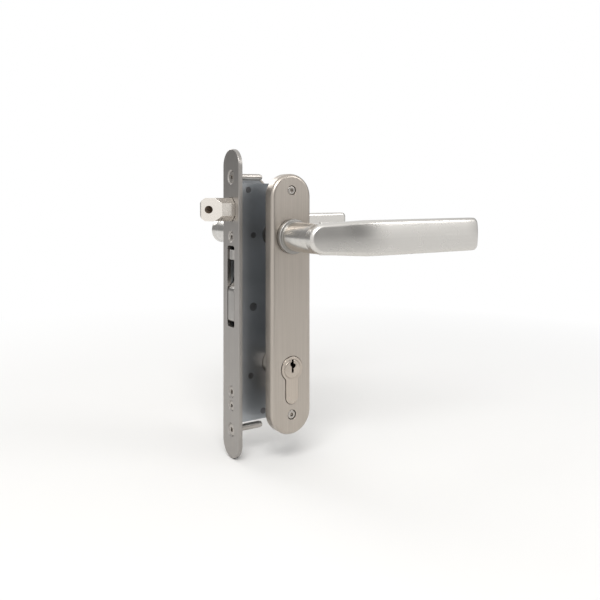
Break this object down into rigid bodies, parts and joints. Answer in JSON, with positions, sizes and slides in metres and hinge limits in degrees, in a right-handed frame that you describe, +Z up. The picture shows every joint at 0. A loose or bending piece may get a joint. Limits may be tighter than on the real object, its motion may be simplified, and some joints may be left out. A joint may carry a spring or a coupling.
{
  "type": "mortise gate lock",
  "caption": "Mortise gate lock: long backplates with lever handles, a bevelled latch bolt, a hook bolt that swings out, a round-ended forend and a profile cylinder.",
  "frame": {"origin": "on the axis of the handles' spindle, midway between the two backplates", "axes": "-X out of the leaf's edge, the way the forend faces and the bolts are thrown; +Y from the side with the screw heads to the other side; +Z up"},
  "size_m": [0.1817, 0.173, 0.22],
  "materials": {
    "forend_steel": "satin stainless steel",
    "plate_steel": "brushed stainless steel",
    "lever_steel": "satin stainless steel",
    "case_steel": "zinc plated sheet steel",
    "rivet_steel": "zinc plated turned steel",
    "screw_steel": "stainless screws",
    "spring_steel": "spring steel",
    "bolt_nickel": "nickel plated, polished",
    "cylinder_nickel": "nickel plated brass, satin",
    "pin_brass": "brass",
    "sintered_steel": "sintered steel",
    "cast_zinc": "die cast, matt",
    "bush_plastic": "black acetal"
  },
  "bodies": {
    "lock": {"forend": "forend_steel", "case_shell": "case_steel", "case_cover": "case_steel", "case_posts": "rivet_steel", "case_screws": "screw_steel", "fixing_screws": "screw_steel", "cylinder_screw": "screw_steel", "front_backplate": "plate_steel", "rear_backplate": "plate_steel", "front_support_plate": "cast_zinc", "rear_support_plate": "cast_zinc", "lever_bushes": "bush_plastic", "through_bolts": "screw_steel", "sleeve_nuts": "rivet_steel", "cylinder_body": "cylinder_nickel", "driver_pins": "pin_brass", "pin_springs": "spring_steel", "hook_pivot_pin": "rivet_steel", "detent_spring": "spring_steel", "latch_spring": "spring_steel", "return_spring": "spring_steel", "spring_seat": "case_steel"},
    "handle": {"front_lever": "lever_steel", "rear_lever": "lever_steel", "spindle": "rivet_steel", "follower": "sintered_steel", "grub_screws": "screw_steel", "lever_rings": "spring_steel"},
    "latch": {"latch_bolt": "bolt_nickel", "latch_stem": "screw_steel", "latch_tail": "case_steel"},
    "plunger": {"return_plunger": "rivet_steel"},
    "hook": {"hook_bolt": "bolt_nickel", "hook_drive_pin": "rivet_steel"},
    "drive": {"drive_plate": "case_steel"},
    "front_key_turn": {"front_plug": "cylinder_nickel", "front_key_pins": "pin_brass", "cam": "sintered_steel", "front_plug_clip": "spring_steel"},
    "rear_key_turn": {"rear_plug": "cylinder_nickel", "rear_key_pins": "pin_brass", "rear_plug_clip": "spring_steel"}
  },
  "joints": [
    {"name": "handle_turn", "type": "hinge", "parent": "lock", "child": "handle", "pos_m": [0, 0, 0], "axis": [0, 1, 0], "range_deg": [0, 45], "stiffness_Nm_per_rad": 0.9, "springref_deg": -45.84},
    {"name": "latch_slide", "type": "slide", "parent": "lock", "child": "latch", "axis": [1, 0, 0], "range_m": [0, 0.0205], "deforming": ["latch_spring"]},
    {"name": "plunger_slide", "type": "slide", "parent": "lock", "child": "plunger", "axis": [0, 0, -1], "range_m": [0, 0.00995], "deforming": ["return_spring"]},
    {"name": "key_turn", "type": "hinge", "parent": "lock", "child": "front_key_turn", "pos_m": [0, 0, -0.092], "axis": [0, 1, 0], "range_deg": [0, 360]},
    {"name": "drive_slide", "type": "slide", "parent": "lock", "child": "drive", "axis": [0, 0, 1], "range_m": [0, 0.01419], "deforming": ["detent_spring"]},
    {"name": "hook_swing", "type": "hinge", "parent": "lock", "child": "hook", "pos_m": [-0.016, 0, -0.051], "axis": [0, -1, 0], "range_deg": [0, 85]},
    {"name": "rear_key", "type": "hinge", "parent": "lock", "child": "rear_key_turn", "pos_m": [0, 0, -0.092], "axis": [0, 1, 0], "range_deg": [0, 360]}
  ],
  "couplings": [
    {"joint": "latch_slide", "follows": "handle_turn", "m_per_rad": 0.026101},
    {"joint": "plunger_slide", "follows": "handle_turn", "m_per_rad": 0.012669},
    {"joint": "drive_slide", "follows": "key_turn", "m_per_rad": 0.0022579},
    {"joint": "hook_swing", "follows": "key_turn", "ratio": 0.23611}
  ]
}
